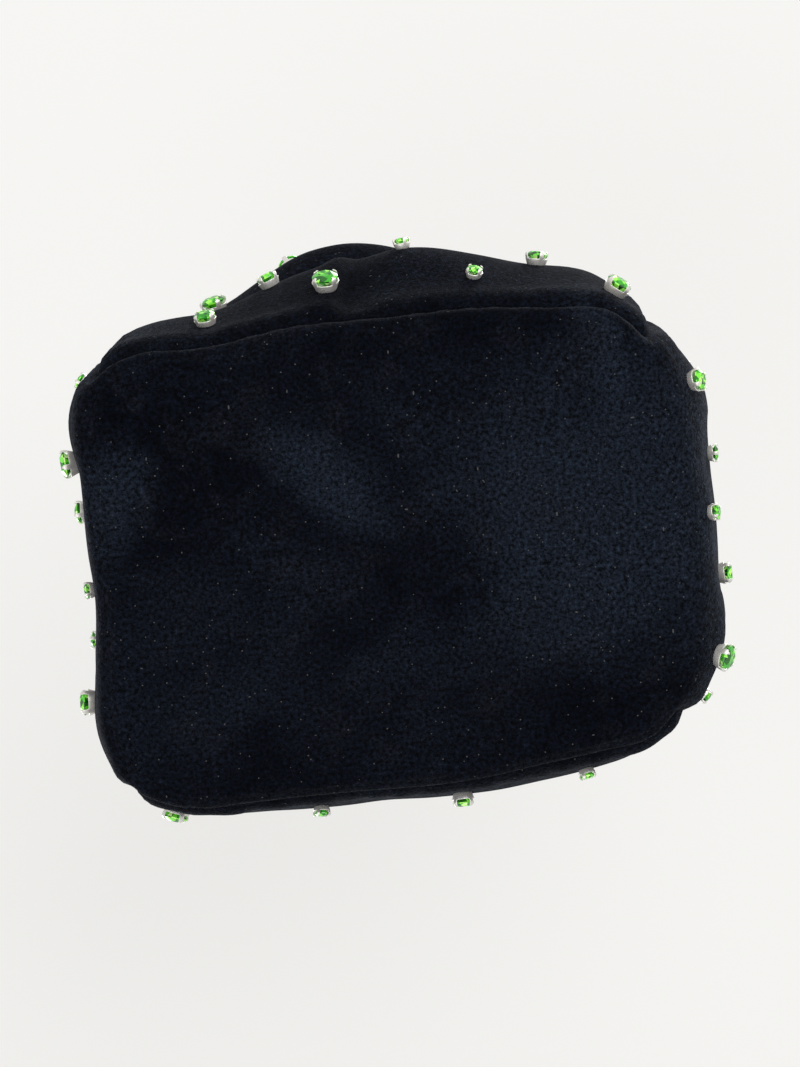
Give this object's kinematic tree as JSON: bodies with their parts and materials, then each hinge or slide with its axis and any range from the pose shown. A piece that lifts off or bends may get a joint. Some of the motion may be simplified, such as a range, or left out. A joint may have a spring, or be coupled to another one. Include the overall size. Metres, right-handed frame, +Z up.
{
  "type": "evening bag",
  "caption": "Soft velvet evening bag with a boxed base, crystals in claw settings on its walls, and a hinged kiss-lock frame.",
  "frame": {"origin": "centre of the underside of the base", "axes": "+Z up through the mouth, +X along the width, the front wall and the moving half of the frame face -Y"},
  "size_m": [0.1928, 0.1597, 0.1603],
  "materials": {
    "velvet": "short dense pile, near-black blue",
    "lining": "satin twill",
    "interlining": "matte felted padding",
    "board": "matte grey board",
    "frame_metal": "polished nickel plate",
    "paper_cord": "twisted paper",
    "crystal": "faceted, foil backed",
    "setting_metal": "polished silver plate"
  },
  "bodies": {
    "bag": {"base_and_ends_velvet": "velvet", "back_velvet": "velvet", "front_velvet": "velvet", "front_velvet_fold": "velvet", "base_and_ends_lining": "lining", "back_lining": "lining", "front_lining": "lining", "front_lining_fold": "lining", "base_and_ends_interlining": "interlining", "back_interlining": "interlining", "front_interlining": "interlining", "base_board": "board", "rear_frame": "frame_metal", "left_hinge_pin": "frame_metal", "right_hinge_pin": "frame_metal", "rear_clasp_ball": "frame_metal", "rear_channel_cord": "paper_cord", "front_large_crystals": "crystal", "front_medium_crystals": "crystal", "front_small_crystals": "crystal", "back_large_crystals": "crystal", "back_medium_crystals": "crystal", "back_small_crystals": "crystal", "left_large_crystals": "crystal", "left_medium_crystals": "crystal", "left_small_crystals": "crystal", "right_large_crystals": "crystal", "right_medium_crystals": "crystal", "right_small_crystals": "crystal", "front_large_settings": "setting_metal", "front_medium_settings": "setting_metal", "front_small_settings": "setting_metal", "back_large_settings": "setting_metal", "back_medium_settings": "setting_metal", "back_small_settings": "setting_metal", "left_large_settings": "setting_metal", "left_medium_settings": "setting_metal", "left_small_settings": "setting_metal", "right_large_settings": "setting_metal", "right_medium_settings": "setting_metal", "right_small_settings": "setting_metal"},
    "front_half": {"front_frame": "frame_metal", "front_clasp_ball": "frame_metal", "front_channel_cord": "paper_cord", "front_mouth_velvet": "velvet", "front_mouth_lining": "lining"}
  },
  "joints": [
    {"name": "frame_hinge", "type": "hinge", "parent": "bag", "child": "front_half", "pos_m": [0, 0, 0.116], "axis": [1, 0, 0], "range_deg": [0, 75], "deforming": ["front_velvet_fold", "front_lining_fold"]}
  ]
}
